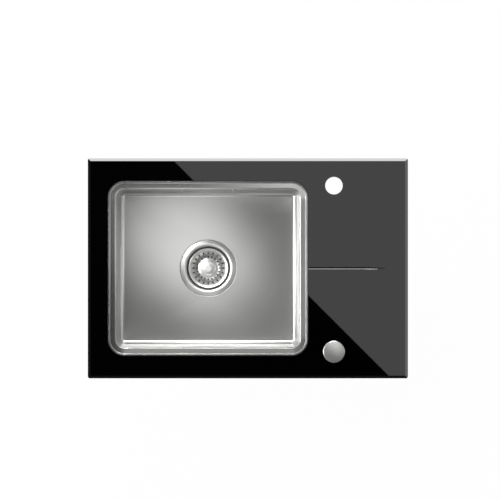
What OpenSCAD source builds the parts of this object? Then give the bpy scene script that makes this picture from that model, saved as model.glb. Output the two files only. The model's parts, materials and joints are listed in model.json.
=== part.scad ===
// Inset kitchen sink: a bevelled black glass top with a stepped steel bowl bonded into its cut-out,
// a basket strainer waste that a rotary knob lifts, and clamps that pull the rim down on a worktop.
// The origin is the centre of the worktop plane that the rim rests on. +Z is up and +Y is the back.

/* [Glass top] */
// Width of the glass, left to right
glass_w = 640; // [620:5:760]
// Depth of the glass, front to back
glass_d = 440; // [430:5:520]
// Thickness of the glass
glass_t = 8; // [6:1:12]
// Radius of the glass's outer corners
glass_corner_r = 4; // [2:1:8]
// Width of the polished bevel along the edge
bevel_w = 5.5; // [2:0.5:8]
// Drop of the bevel at the edge
bevel_drop = 2.5; // [1:0.5:4]
// Diameter of the tap hole and of the knob's hole
service_hole_d = 35; // [34:1:36]
// Distance of both holes from the right-hand edge
service_inset_x = 148; // [100:1:170]
// Distance of the tap hole from the back edge
tap_inset = 54.8; // [50:0.1:70]
// Distance of the knob's hole from the front edge
knob_inset = 53.4; // [50:0.1:70]
// Length of the drain groove from the bowl's cut-out
groove_l = 160; // [100:5:180]
// Width of the drain groove
groove_w = 4.6; // [3:0.2:7]
// Depth of the drain groove
groove_depth = 1.1; // [0.6:0.1:1.5]
// Length over which the groove runs out to nothing
groove_run_out = 55; // [30:5:80]

/* [Bowl] */
// Glass to the left of the bowl's rim
bowl_margin = 40; // [38:1:60]
// Glass to the right of the bowl's rim, for the tap, the knob and the drain groove
drainer_w = 200; // [190:5:260]
// Glass in front of the bowl's rim and behind it
bowl_margin_y = 45.5; // [44:0.5:60]
// Depth of the bowl below the face of the glass
bowl_depth = 190; // [150:5:220]
// Corner radius of the rim
bowl_corner_r = 33; // [32:1:45]
// Thickness of the bowl's steel
sheet_t = 1; // [0.8:0.1:1.2]
// Width of the sloping lip inside the glass
lip_w = 4.4; // [3.5:0.1:5.4]
// Drop of the sloping lip
lip_drop = 4.5; // [3:0.5:6]
// Width of the ledge that accessories rest on
ledge_w = 12; // [8:0.5:13]
// Fall of the ledge towards the bowl
ledge_fall = 0.6; // [0.2:0.1:1.5]
// Radius where the ledge turns down into the wall
shoulder_r = 3; // [2:0.5:4]
// How far each wall leans in from top to foot
wall_lean = 5; // [2:0.5:6]
// Radius between the walls and the floor
floor_r = 10; // [6:0.5:11]
// Fall of the floor from the walls to the waste
floor_fall = 2.5; // [1:0.5:5]
// Width of the flange bonded under the glass
bond_flange_w = 14; // [10:1:15]
// Thickness of the sealant on that flange
sealant_t = 1; // [0.8:0.1:1.5]
// Width of the sealant joint between the lip and the glass
joint_w = 0.6; // [0.4:0.1:1]

/* [Overflow] */
// Height of the overflow slots below the face of the glass
overflow_drop = 42; // [38:1:60]
// Length of one overflow slot
overflow_slot_l = 26; // [16:1:28]
// Height of one overflow slot
overflow_slot_h = 3.6; // [2.5:0.1:3.8]
// Diameter of the hose spigots
hose_spigot_d = 20; // [18:1:22]

/* [Waste] */
// Diameter of the strainer flange
flange_d = 112.4; // [110:0.2:116]
// Depth of the pressed seat round the hole
seat_depth = 2.6; // [2.4:0.1:4]
// Thickness of the flange's steel
flange_t = 0.9; // [0.7:0.1:1]
// Diameter of the basket's rim
basket_d = 80; // [78:0.2:82]
// Width of the cone that the basket's seal closes on
seat_cone_w = 2.9; // [2:0.1:3.5]
// Thickness of the basket's steel
basket_t = 0.8; // [0.6:0.1:0.9]
// Number of slots in each ring of the basket
slot_count = 20; // [12:1:22]
// Diameter of the basket's knob
basket_knob_d = 14.4; // [12:0.4:18]
// Travel of the lifting pin
lift = 9; // [6:0.5:9]
// Diameter of the lifting pin
pin_d = 6; // [5:0.5:7]
// Outside diameter of the waste outlet's thread
outlet_d = 47.8; // [40:0.1:48]
// Length of the waste outlet
outlet_l = 24; // [18:1:40]
// Distance of the lever's shaft from the lifting pin
lever_l = 22; // [20:0.5:24]
// Diameter of the lever's shaft
shaft_d = 8; // [6:0.5:9]
// Length of the crank that the cable pulls
crank_l = 28; // [24:1:30]

/* [Knob] */
// Diameter of the control knob
knob_d = 43.8; // [43:0.2:50]
// Height of the control knob above the glass
knob_h = 18; // [14:1:26]
// Crown of the control knob's face
knob_crown = 1.2; // [0.4:0.2:2]
// Diameter of the knob's spindle
spindle_d = 8; // [6:0.5:9]
// Diameter of the drum's housing
housing_d = 50; // [46:1:54]

/* [Clamps] */
// Overlap of the glass on the worktop, outside the cut-out
worktop_overlap = 10; // [9:1:14]
// Clearance between the rails and the worktop's cut-out
rail_gap = 4; // [3:1:5]
// Height of the rails' web
rail_h = 26; // [24:1:30]
// Width of the rails' bonded leg
rail_leg = 9.5; // [8:0.5:10]
// Thickness of the rails' steel
rail_t = 1.2; // [1:0.1:2]
// Thickness of the foam seal under the glass
seal_t = 2; // [1.5:0.5:3]
// Width of the foam seal
seal_w = 8; // [6:1:9]
// Diameter of the clamp screws
screw_d = 5; // [4:0.5:6]
// Length of the clamp screws between a slack claw and the rail
screw_l = 30; // [28:1:45]
// Reach of a clamp claw from its screw
claw_reach = 30; // [26:1:34]
// Width of a clamp claw
claw_w = 13; // [10:0.5:13]
// Thickness of a clamp claw
claw_t = 2; // [1.5:0.5:2.5]

/* [Hidden] */
$fn = 64;

// Clearances
running = 0.05;      // a shaft in its bearing, on the radius
slack = 0.3;         // a moving piece above what it rests on
over = 1;            // how far a cutter runs past a face
skin = 0.01;         // thickness of the slices that the floor is drawn between

// Levels, from the worktop plane at zero
glass_z = seal_t;
top_z = glass_z + glass_t;
flange_z = glass_z - sealant_t;
ledge_z = top_z - lip_drop;
shoulder_z = ledge_z - ledge_fall;
floor_z = top_z - bowl_depth;
drain_z = floor_z - floor_fall;
seat_z = drain_z - seat_depth;
under_z = seat_z - sheet_t;

// The bowl's plan: corner_x and corner_y are the centres of its corner radii
bowl_w = glass_w - bowl_margin - drainer_w;
bowl_d = glass_d - 2 * bowl_margin_y;
bowl_x = -glass_w / 2 + bowl_margin + bowl_w / 2;
corner_x = bowl_w / 2 - bowl_corner_r;
corner_y = bowl_d / 2 - bowl_corner_r;
wall_r = bowl_corner_r - lip_w - ledge_w;
foot_r = wall_r - wall_lean;
lean_angle = atan(wall_lean / (shoulder_z - floor_z));

// Holes in the glass
service_x = glass_w / 2 - service_inset_x;
tap_y = glass_d / 2 - tap_inset;
knob_y = -glass_d / 2 + knob_inset;

function unit(v) = v / norm(v);
function flat(v) = [v[0], v[1]];
function turned_left(v) = [-v[1], v[0]];

// Points of the arc of radius r that rounds corner b between a and c
function corner_arc(a, b, c, r, n) =
    let (
        u = unit(a - b),
        v = unit(c - b),
        half = acos(u * v) / 2,
        centre = b + unit(u + v) * r / sin(half),
        from = b + u * r / tan(half) - centre,
        to = b + v * r / tan(half) - centre,
        start = atan2(from[1], from[0]),
        sweep = atan2(from[0] * to[1] - from[1] * to[0], from * to)
    )
    [for (i = [0:n]) centre + r * [cos(start + sweep * i / n), sin(start + sweep * i / n)]];

// A path through corners [x, y] or [x, y, radius], with n steps in each rounded corner
function rounded(corners, n = 6) = [
    for (i = [0:len(corners) - 1])
        each (len(corners[i]) > 2
            ? corner_arc(flat(corners[i - 1]), flat(corners[i]), flat(corners[i + 1]), corners[i][2], n)
            : [corners[i]])
];

// The far side of a sheet of thickness t that lies to the left of a path
function far_side(path, t) = [
    for (i = [0:len(path) - 1])
        let (
            last = len(path) - 1,
            a = unit(i > 0 ? path[i] - path[i - 1] : path[1] - path[0]),
            b = unit(i < last ? path[i + 1] - path[i] : path[last] - path[last - 1])
        )
        path[i] + t * turned_left(a + b) / (1 + a * b)
];

// Section through a pressed sheet: the path is the side that shows
module sheet(path, t) {
    far = far_side(path, t);
    polygon(concat(path, [for (i = [len(far) - 1:-1:0]) far[i]]));
}

// Sweeps a section round a rectangle with rounded corners; x in the section is the distance from
// the rectangle of the corner centres
module around(half_x, half_y) {
    for (k = [0:3]) {
        a = k % 2 == 0 ? half_x : half_y;
        b = k % 2 == 0 ? half_y : half_x;
        rotate(90 * k) translate([a, b, 0]) {
            rotate_extrude(angle = 90) children();
            rotate([90, 0, 0]) linear_extrude(2 * b) children();
        }
    }
}

module rounded_plate(w, d, r, h) {
    translate([-w / 2 + r, -d / 2, 0]) cube([w - 2 * r, d, h]);
    translate([-w / 2, -d / 2 + r, 0]) cube([w, d - 2 * r, h]);
    for (x = [-1, 1], y = [-1, 1])
        translate([x * (w / 2 - r), y * (d / 2 - r), 0]) cylinder(r = r, h = h);
}

module tube(r_out, r_in, z0, z1) {
    translate([0, 0, z0]) difference() {
        cylinder(r = r_out, h = z1 - z0);
        translate([0, 0, -over]) cylinder(r = r_in, h = z1 - z0 + 2 * over);
    }
}

// A slot with round ends, centred on the origin, long in X and cut along Z
module slot(l, w, h) {
    translate([-(l - w) / 2, -w / 2, -h / 2]) cube([l - w, w, h]);
    for (s = [-1, 1]) translate([s * (l - w) / 2, 0, -h / 2]) cylinder(d = w, h = h);
}

// Glass top

groove_ball_r = groove_w * groove_w / (8 * groove_depth) + groove_depth / 2;
groove_start = bowl_x + bowl_w / 2;
groove_level_l = groove_l - groove_run_out;

module bevel_cutter(length) {
    slope = bevel_drop / bevel_w;
    rotate([90, 0, 0]) linear_extrude(length + 2 * over, center = true)
        polygon([[-bevel_w, 0], [over, -bevel_drop - slope * over], [over, over], [-bevel_w, over]]);
}

module drain_groove() {
    rise = asin(groove_depth / groove_run_out);
    translate([groove_start - over, 0, top_z + groove_ball_r - groove_depth]) {
        rotate([0, 90, 0]) cylinder(r = groove_ball_r, h = groove_level_l + over);
        translate([groove_level_l, 0, 0]) rotate([0, 90 - rise, 0])
            cylinder(r = groove_ball_r, h = groove_run_out + over);
    }
}

module glass_top() color([0.02, 0.02, 0.022]) difference() {
    translate([0, 0, glass_z]) rounded_plate(glass_w, glass_d, glass_corner_r, glass_t);
    for (k = [0:3]) {
        across = k % 2 == 0 ? glass_w : glass_d;
        along = k % 2 == 0 ? glass_d : glass_w;
        rotate(90 * k) translate([across / 2, 0, top_z]) bevel_cutter(along);
    }
    translate([bowl_x, 0, glass_z - over]) rounded_plate(
        bowl_w + 2 * joint_w,
        bowl_d + 2 * joint_w,
        bowl_corner_r + joint_w,
        glass_t + 2 * over
    );
    for (y = [tap_y, knob_y])
        translate([service_x, y, glass_z - over]) cylinder(d = service_hole_d, h = glass_t + 2 * over);
    drain_groove();
}

// Bowl

recess_r = flange_d / 2 + 1.2;
recess_wall = 0.9;
floor_flat_r = recess_r + 3;
floor_edge = 0.5;
crest_r = sheet_t + 0.4;
crease_r = 1.5;

bowl_path = rounded([
    [bowl_corner_r + bond_flange_w, flange_z],
    [bowl_corner_r, flange_z],
    [bowl_corner_r, top_z, crest_r],
    [bowl_corner_r - lip_w, ledge_z, crease_r],
    [wall_r, shoulder_z, shoulder_r],
    [foot_r, floor_z, floor_r],
    [0, floor_z]
]);

// The space above the floor: a rectangle at the walls that runs down to a circle at the waste
module floor_hollow() hull() {
    translate([-corner_x + floor_edge, -corner_y + floor_edge, floor_z])
        cube([2 * (corner_x - floor_edge), 2 * (corner_y - floor_edge), skin]);
    translate([0, 0, drain_z]) cylinder(r = floor_flat_r, h = skin, $fn = 48);
}

module bowl_floor() difference() {
    union() {
        translate([0, 0, -sheet_t]) floor_hollow();
        translate([-corner_x, -corner_y, floor_z - sheet_t]) cube([2 * corner_x, 2 * corner_y, sheet_t]);
    }
    floor_hollow();
    translate([0, 0, drain_z - sheet_t - over]) cylinder(r = recess_r + 1, h = floor_fall + sheet_t + 2 * over);
}

module waste_seat() rotate_extrude() sheet(rounded([
    [recess_r + 1, drain_z],
    [recess_r, drain_z, 0.8],
    [recess_r - recess_wall, seat_z, 1.2],
    [waste_hole_r, seat_z]
]), sheet_t);

// Stands on the inner face of a wall, with Y out through the wall and Z up along it
module on_wall(half, z) {
    y = half + wall_r - wall_lean * (shoulder_z - z) / (shoulder_z - floor_z);
    translate([0, y, z]) rotate([-lean_angle, 0, 0]) children();
}

overflow_pitch = overflow_slot_l + 6;
module overflow_slots() on_wall(corner_y, top_z - overflow_drop)
    for (i = [-1:1]) translate([i * overflow_pitch, 0, 0])
        rotate([90, 0, 0]) slot(overflow_slot_l, overflow_slot_h, 2 * (sheet_t + over));

module bowl() color([0.72, 0.72, 0.71]) translate([bowl_x, 0, 0]) difference() {
    union() {
        around(corner_x, corner_y) sheet(bowl_path, sheet_t);
        bowl_floor();
        waste_seat();
    }
    overflow_slots();
    on_wall(corner_y, top_z - overflow_drop) overflow_screw_places() rotate([90, 0, 0])
        cylinder(r = overflow_screw_r + running, h = 2 * (sheet_t + over), center = true);
}

sealant_w = bond_flange_w - 2;
sealant_below_face = 0.6;
module bowl_sealant() color([0.03, 0.03, 0.03]) translate([bowl_x, 0, 0])
    around(corner_x, corner_y) polygon([
        [bowl_corner_r, flange_z],
        [bowl_corner_r + sealant_w, flange_z],
        [bowl_corner_r + sealant_w, glass_z],
        [bowl_corner_r + joint_w, glass_z],
        [bowl_corner_r + joint_w, top_z - crest_r - sealant_below_face],
        [bowl_corner_r, top_z - crest_r - sealant_below_face]
    ]);

pad_l = 160;
pad_h = 90;
pad_t = 2.5;
module sound_pads() color([0.16, 0.16, 0.17]) translate([bowl_x, 0, 0])
    for (side = [-1, 1]) rotate(-90 * side) on_wall(corner_x, (shoulder_z + floor_z) / 2)
        translate([-pad_l / 2, sheet_t, -pad_h / 2]) cube([pad_l, pad_t, pad_h]);

// Overflow, behind the back wall

overflow_chamber_w = 3 * overflow_pitch;
overflow_flange = 8;
overflow_flange_t = 4;
overflow_box_w = overflow_chamber_w + 2 * overflow_flange;
overflow_box_h = 30;
overflow_box_d = 15;
overflow_wall = 2;
overflow_gasket_t = 2;
overflow_screw_r = 2;
overflow_screw_in = 5;
overflow_screw_l = sheet_t + overflow_gasket_t + overflow_flange_t - 0.5;
overflow_head_h = 1.6;
spigot_l = 26;
spigot_wall = 2;
spigot_r = hose_spigot_d / 2;

module overflow_screw_places()
    for (s = [-1, 1]) translate([s * (overflow_box_w / 2 - overflow_screw_in), 0, 0]) children();

module at_overflow() translate([bowl_x, 0, 0]) on_wall(corner_y, top_z - overflow_drop) children();

module overflow_gasket() color([0.05, 0.05, 0.05]) at_overflow() difference() {
    translate([-overflow_box_w / 2, sheet_t, -overflow_box_h / 2])
        cube([overflow_box_w, overflow_gasket_t, overflow_box_h]);
    translate([-overflow_chamber_w / 2, 0, -overflow_slot_h])
        cube([overflow_chamber_w, sheet_t + overflow_gasket_t + over, 2 * overflow_slot_h]);
    overflow_screw_places() rotate([-90, 0, 0])
        cylinder(r = overflow_screw_r + running, h = overflow_box_d);
}

module overflow_box() color([0.1, 0.1, 0.11]) at_overflow() difference() {
    y = sheet_t + overflow_gasket_t;
    spigot_y = y + overflow_box_d / 2 + overflow_wall;
    low = -overflow_box_h / 2;
    union() {
        translate([-overflow_box_w / 2, y, low]) cube([overflow_box_w, overflow_flange_t, overflow_box_h]);
        translate([-overflow_chamber_w / 2, y, low])
            cube([overflow_chamber_w, overflow_box_d, overflow_box_h]);
        translate([0, spigot_y, low - spigot_l]) cylinder(r = spigot_r, h = spigot_l + over);
    }
    translate([-overflow_chamber_w / 2 + overflow_wall, y - over, low + overflow_wall]) cube([
        overflow_chamber_w - 2 * overflow_wall,
        overflow_box_d - overflow_wall + over,
        overflow_box_h - 2 * overflow_wall
    ]);
    translate([0, spigot_y, low - spigot_l - over])
        cylinder(r = spigot_r - spigot_wall, h = spigot_l + overflow_wall + 2 * over);
    overflow_screw_places() rotate([-90, 0, 0]) cylinder(r = overflow_screw_r, h = overflow_box_d);
}

module overflow_screws() color([0.75, 0.75, 0.75]) at_overflow()
    overflow_screw_places() rotate([-90, 0, 0]) {
        translate([0, 0, -overflow_head_h]) cylinder(r = 2 * overflow_screw_r, h = overflow_head_h);
        cylinder(r = overflow_screw_r, h = overflow_screw_l);
    }

// Rim seal, rails and clamps

seal_inset = 4;
seal_corner_r = seal_w + 2;
module edge_seal() color([0.12, 0.12, 0.12])
    around(glass_w / 2 - seal_inset - seal_corner_r, glass_d / 2 - seal_inset - seal_corner_r)
        translate([seal_corner_r - seal_w, 0]) square([seal_w, seal_t]);

rail_out_x = glass_w / 2 - worktop_overlap - rail_gap;
rail_out_y = glass_d / 2 - worktop_overlap - rail_gap;
rail_end = 28;
adhesive_t = glass_z - rail_t;
lug_w = 18;
lug_d = 16;
screw_in = 9;
clamp_screw_r = screw_d / 2;
nut_r = clamp_screw_r * 1.9;
nut_h = 4;
screw_tip = 1.3;
screw_flange_r = 6.5;
screw_flange_t = 1.5;
screw_head_across = 4.6;
head_h = 3.5;
head_slot_w = 1.2;
head_slot_depth = 1.6;
claw_z = -rail_h - screw_l;
claw_tail = 8;
claw_lip = 10;

// Clamps along each rail, as distances from the rail's middle; each rail is [half length, distance
// from the sink's middle, turn, clamps]
clamp_inset = 120;
clamp_from_tap = 80;
left_clamp_x = -glass_w / 2 + clamp_inset;
right_clamp_x = service_x - clamp_from_tap;
side_rail_end = rail_end + 10;
rails = [
    [glass_w / 2 - rail_end, rail_out_y, 0, [left_clamp_x, right_clamp_x]],
    [glass_w / 2 - rail_end, rail_out_y, 180, [-right_clamp_x, -left_clamp_x]],
    [glass_d / 2 - side_rail_end, rail_out_x, 90, [0]],
    [glass_d / 2 - side_rail_end, rail_out_x, -90, [0]]
];

module at_rail(rail) rotate(rail[2]) translate([0, rail[1], 0]) children();
module at_clamp(rail, i) at_rail(rail) translate([rail[3][i], -screw_in, 0]) children();

module rail_profile(rail) color([0.68, 0.69, 0.7]) at_rail(rail) {
    difference() {
        union() {
            rotate([90, 0, 90]) linear_extrude(2 * rail[0], center = true)
                sheet(rounded([[0, -rail_h], [0, rail_t, 2 * rail_t], [-rail_leg, rail_t]]), rail_t);
            for (x = rail[3]) translate([x - lug_w / 2, -lug_d, -rail_h]) cube([lug_w, lug_d, rail_t]);
        }
        for (x = rail[3]) translate([x, -screw_in, -rail_h - over])
            cylinder(r = clamp_screw_r + running, h = rail_t + 2 * over);
    }
}

module rail_back() rail_profile(rails[0]);
module rail_front() rail_profile(rails[1]);
module rail_left() rail_profile(rails[2]);
module rail_right() rail_profile(rails[3]);

module rail_adhesive() color([0.1, 0.1, 0.1]) for (rail = rails) at_rail(rail)
    translate([-rail[0], -rail_leg, rail_t]) cube([2 * rail[0], rail_leg - 3 * rail_t, adhesive_t]);

// Nuts welded on the rails' lugs, screws that climb through them, and claws that turn on the screws
module clamp_nuts() color([0.72, 0.73, 0.7]) for (rail = rails, i = [0:len(rail[3]) - 1])
    at_clamp(rail, i) translate([0, 0, -rail_h + rail_t]) difference() {
        cylinder(r = nut_r, h = nut_h, $fn = 6);
        translate([0, 0, -over]) cylinder(r = clamp_screw_r + running, h = nut_h + 2 * over);
    }

module clamp_screw(rail, i) color([0.8, 0.78, 0.7]) at_clamp(rail, i) difference() {
    head_z = claw_z - screw_flange_t - head_h;
    union() {
        translate([0, 0, head_z]) cylinder(r = screw_head_across, h = head_h, $fn = 6);
        translate([0, 0, claw_z - screw_flange_t]) cylinder(r = screw_flange_r, h = screw_flange_t);
        translate([0, 0, claw_z]) cylinder(r = clamp_screw_r, h = screw_l + rail_t + nut_h + screw_tip);
    }
    translate([-nut_r, -head_slot_w / 2, head_z - over])
        cube([2 * nut_r, head_slot_w, head_slot_depth + over]);
}

module clamp_claw(rail, i) color([0.7, 0.71, 0.72]) at_clamp(rail, i) difference() {
    z = claw_z + slack;
    tooth = claw_w / 3;
    tail_cut = 4;
    rotate([90, 0, 0]) linear_extrude(claw_w, center = true)
        sheet(rounded([[-claw_tail, z], [claw_reach, z, claw_t + 1], [claw_reach, z + claw_lip]]), claw_t);
    translate([0, 0, z - over]) cylinder(r = clamp_screw_r + 2 * running, h = claw_t + 2 * over);
    for (y = [-1, 1]) translate([claw_reach, y * tooth, z + claw_lip])
        rotate([0, 90, 0]) rotate(45) cube([tooth / 2, tooth / 2, 3 * claw_t], center = true);
    for (y = [-1, 1]) translate([-claw_tail, y * claw_w / 2, z - over]) rotate(45)
        cube([tail_cut, tail_cut, 2 * claw_t + 2 * over], center = true);
}

module clamp_screw_back_left() clamp_screw(rails[0], 0);
module clamp_screw_back_right() clamp_screw(rails[0], 1);
module clamp_screw_front_right() clamp_screw(rails[1], 0);
module clamp_screw_front_left() clamp_screw(rails[1], 1);
module clamp_screw_left() clamp_screw(rails[2], 0);
module clamp_screw_right() clamp_screw(rails[3], 0);
module clamp_claw_back_left() clamp_claw(rails[0], 0);
module clamp_claw_back_right() clamp_claw(rails[0], 1);
module clamp_claw_front_right() clamp_claw(rails[1], 0);
module clamp_claw_front_left() clamp_claw(rails[1], 1);
module clamp_claw_left() clamp_claw(rails[2], 0);
module clamp_claw_right() clamp_claw(rails[3], 0);

// Waste: the strainer flange and its cup

module at_waste() translate([bowl_x, 0, 0]) children();

rim_seal_t = 1;
rim_z = seat_z + rim_seal_t + flange_t;
crown_h = 1.9;
crown_w = 7.7;
basket_r = basket_d / 2;
seat_r = basket_r + 1.7;
mouth_r = seat_r + seat_cone_w;
waste_hole_r = mouth_r + flange_t + 0.5;
mouth_z = rim_z + 0.6;
cone_h = 9;
cone_z = mouth_z - cone_h;
cup_r = seat_r - 1;
cup_wall_h = 20;
shelf_h = 6;
throat_h = 9;
cup_foot_z = seat_z - cup_wall_h;
throat_r = 26;
throat_z = cup_foot_z - shelf_h;
cup_z = throat_z - throat_h;
screw_r = 5;
screw_head_r = 8.5;
screw_head_h = 3;
window_count = 5;
window_angle = 50;
window_in = 11;
window_out = throat_r - 3;

module waste_flange() color([0.82, 0.82, 0.81]) at_waste() difference() {
    rotate_extrude() sheet(rounded([
        [flange_d / 2, rim_z],
        [flange_d / 2 - crown_w, rim_z + crown_h, 8],
        [mouth_r, mouth_z, 2],
        [seat_r, cone_z, 2],
        [cup_r, cup_foot_z, 3],
        [throat_r, throat_z, 2],
        [throat_r, cup_z, 2],
        [0, cup_z]
    ], 5), flange_t);
    translate([0, 0, cup_z - flange_t - over]) {
        cylinder(r = screw_r + running, h = flange_t + 2 * over);
        for (k = [0:window_count - 1]) rotate(360 / window_count * k) rotate_extrude(angle = window_angle)
            translate([window_in, 0]) square([window_out - window_in, flange_t + 2 * over]);
    }
}

module rim_seal() color([0.06, 0.06, 0.06]) at_waste()
    tube(flange_d / 2 - 0.4, waste_hole_r + 2, seat_z, seat_z + rim_seal_t);

gasket_t = 3;
body_z = under_z - gasket_t;
module body_gasket() color([0.06, 0.06, 0.06]) at_waste()
    tube(waste_hole_r + 8, waste_hole_r + 1.5, body_z, under_z);

// Waste: the body, with its hub, ribs, shaft bearing, hose spigot and cable bracket

body_wall = 3;
body_r = waste_hole_r + 3.5;
body_rim_r = waste_hole_r + 8.5;
body_rim_h = 5;
body_neck = 10;
hub_r = 9;
hub_z = cup_z - flange_t;
hub_l = 18;
rib_count = 4;
nut_l = 6;
pin_r = pin_d / 2;
pin_top_z = cup_z + screw_head_h + 1.5;
pin_foot_r = 6;
pin_foot_t = 2.5;
pin_foot_z = hub_z - hub_l - nut_l - lift - 1;
pin_bottom_z = pin_foot_z - pin_foot_t;
tip_r = 3;
shaft_r = shaft_d / 2;
lever_hub_r = shaft_r + 3;
lever_rest = asin((lever_hub_r - tip_r) / lever_l);
lever_angle = asin((lever_hub_r - tip_r + lift) / lever_l) - lever_rest;
shaft_x = lever_l * cos(lever_rest);
shaft_z = pin_bottom_z - slack - lever_hub_r;
body_foot_z = shaft_z - 10;
outlet_z = shaft_z - 22;
bearing_r = shaft_r + 4.5;
bearing_in = 34;
bearing_out = 58;
crank_t = 4;
crank_y = -bearing_out - slack - crank_t / 2;
inlet_z = throat_z;
inlet_out = 76;
gland_r = 3.5;
cable_r = 2.6;
wire_r = 0.9;
gland_head_r = 5.5;
gland_head_t = 3;
gland_snout = 8;
bracket_in = 40;
bracket_out = 56;
bracket_w = 12;
bracket_root = 25;

module body_shell() rotate_extrude() polygon(concat(
    [[body_rim_r, body_z], [body_rim_r, body_z - body_rim_h], [body_r, body_z - body_rim_h - 3]],
    rounded([
        [body_r, body_z - body_neck],
        [body_r, body_foot_z, 8],
        [outlet_d / 2, outlet_z, 3],
        [outlet_d / 2, outlet_z - 4]
    ]),
    [[outlet_d / 2, outlet_z - outlet_l], [outlet_d / 2 - body_wall, outlet_z - outlet_l]],
    rounded([
        [outlet_d / 2 - body_wall, outlet_z - 2],
        [outlet_d / 2 - body_wall, outlet_z + body_wall, 3],
        [body_r - body_wall, body_foot_z + body_wall, 8],
        [body_r - body_wall, body_z - body_neck]
    ]),
    [[body_r - body_wall, body_z]]
));

module waste_body() color([0.13, 0.13, 0.14]) at_waste() difference() {
    union() {
        difference() {
            union() {
                body_shell();
                translate([shaft_x, -bearing_in, shaft_z]) rotate([90, 0, 0])
                    cylinder(r = bearing_r, h = bearing_out - bearing_in);
                translate([0, body_r - body_wall / 2, inlet_z]) rotate([-90, 0, 0])
                    cylinder(r = spigot_r, h = inlet_out - body_r + body_wall / 2);
                translate([bracket_in, crank_y - bracket_w / 2, shaft_z + crank_l - bracket_w / 2])
                    cube([bracket_out - bracket_in, bracket_w / 2 - crank_y - bracket_root, bracket_w]);
            }
            translate([0, body_r - body_wall - over, inlet_z]) rotate([-90, 0, 0])
                cylinder(r = spigot_r - spigot_wall, h = inlet_out - body_r + body_wall + 2 * over);
        }
        translate([0, 0, hub_z - hub_l]) cylinder(r = hub_r, h = hub_l);
        for (k = [0:rib_count - 1]) rotate(360 / rib_count * (k + 0.5))
            translate([hub_r - 1, -body_wall / 2, hub_z - hub_l + 2])
                cube([body_r - body_wall / 2 - hub_r + 1, body_wall, hub_l - 6]);
    }
    translate([0, 0, hub_z - hub_l - over]) cylinder(r = screw_r + running, h = hub_l + 2 * over);
    translate([shaft_x, -bearing_in + over, shaft_z]) rotate([90, 0, 0])
        cylinder(r = shaft_r + running, h = bearing_out - bearing_in + 2 * over);
    translate([bracket_in - over, crank_y, shaft_z + crank_l]) rotate([0, 90, 0])
        cylinder(r = gland_r, h = bracket_out - bracket_in + 2 * over);
}

module centre_screw() color([0.8, 0.8, 0.8]) at_waste() difference() {
    bottom = hub_z - hub_l - nut_l;
    union() {
        translate([0, 0, bottom]) cylinder(r = screw_r, h = cup_z - bottom + screw_head_h);
        translate([0, 0, cup_z]) cylinder(r = screw_head_r, h = screw_head_h);
    }
    translate([0, 0, bottom - over])
        cylinder(r = pin_r + running, h = cup_z - bottom + screw_head_h + 2 * over);
}

module centre_nut() color([0.78, 0.65, 0.35]) at_waste() difference() {
    translate([0, 0, hub_z - hub_l - nut_l]) cylinder(r = hub_r, h = nut_l, $fn = 6);
    translate([0, 0, hub_z - hub_l - nut_l - over]) cylinder(r = screw_r, h = nut_l + 2 * over);
}

module lift_pin() color([0.75, 0.75, 0.76]) at_waste() {
    translate([0, 0, pin_foot_z - over]) cylinder(r = pin_r, h = pin_top_z - pin_foot_z + over);
    translate([0, 0, pin_bottom_z]) cylinder(r = pin_foot_r, h = pin_foot_t);
}

// Waste: the lever that lifts the pin, on a shaft through the body's wall

lever_t = 10;
shaft_end = 2.5;

// A flat arm from a round hub at the origin to a round end on the X axis
module arm(hub, end, l, t) {
    a = acos((hub - end) / l);
    linear_extrude(t) {
        circle(r = hub);
        translate([l, 0]) circle(r = end);
        polygon([
            hub * [cos(a), -sin(a)],
            [l, 0] + end * [cos(a), -sin(a)],
            [l, 0] + end * [cos(a), sin(a)],
            hub * [cos(a), sin(a)]
        ]);
    }
}

module at_shaft(y) at_waste() translate([shaft_x, y, shaft_z]) rotate([90, 0, 0]) children();

module lift_lever() color([0.6, 0.61, 0.62]) at_shaft(lever_t / 2) difference() {
    mirror([1, 0, 0]) rotate(lever_rest) arm(lever_hub_r, tip_r, lever_l, lever_t);
    translate([0, 0, -over]) cylinder(r = shaft_r, h = lever_t + 2 * over);
}

module lever_shaft() color([0.75, 0.75, 0.76]) at_shaft(lever_t / 2 + shaft_end)
    cylinder(r = shaft_r, h = lever_t / 2 + 2 * shaft_end - crank_y + crank_t / 2);

module lever_crank() color([0.6, 0.61, 0.62]) at_shaft(crank_y + crank_t / 2) difference() {
    rotate(90) arm(lever_hub_r, 4, crank_l, crank_t);
    translate([0, 0, -over]) cylinder(r = shaft_r, h = crank_t + 2 * over);
    translate([0, crank_l, -over]) cylinder(r = 1.7, h = crank_t + 2 * over);
}

module shaft_seal() color([0.05, 0.05, 0.05]) at_shaft(-bearing_in + 2)
    tube(bearing_r - 1.5, shaft_r + running, 0, 2);

// A cable gland along Z: its thread runs back from the origin, and its head and snout forward
module cable_gland(back) difference() {
    union() {
        translate([0, 0, -back]) cylinder(r = gland_r, h = back + gland_head_t + gland_snout);
        cylinder(r = gland_head_r, h = gland_head_t, $fn = 6);
    }
    translate([0, 0, -2]) cylinder(r = cable_r, h = gland_head_t + gland_snout + 2 + over);
    translate([0, 0, -back - over]) cylinder(r = wire_r, h = back + 2 * over);
}

module waste_cable_gland() color([0.2, 0.2, 0.21]) at_waste()
    translate([bracket_out, crank_y, shaft_z + crank_l]) rotate([0, 90, 0])
        cable_gland(bracket_out - bracket_in);

// Strainer basket: a rolled rim, a steep wall down to a trough, and a hub that rises to the knob

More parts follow.
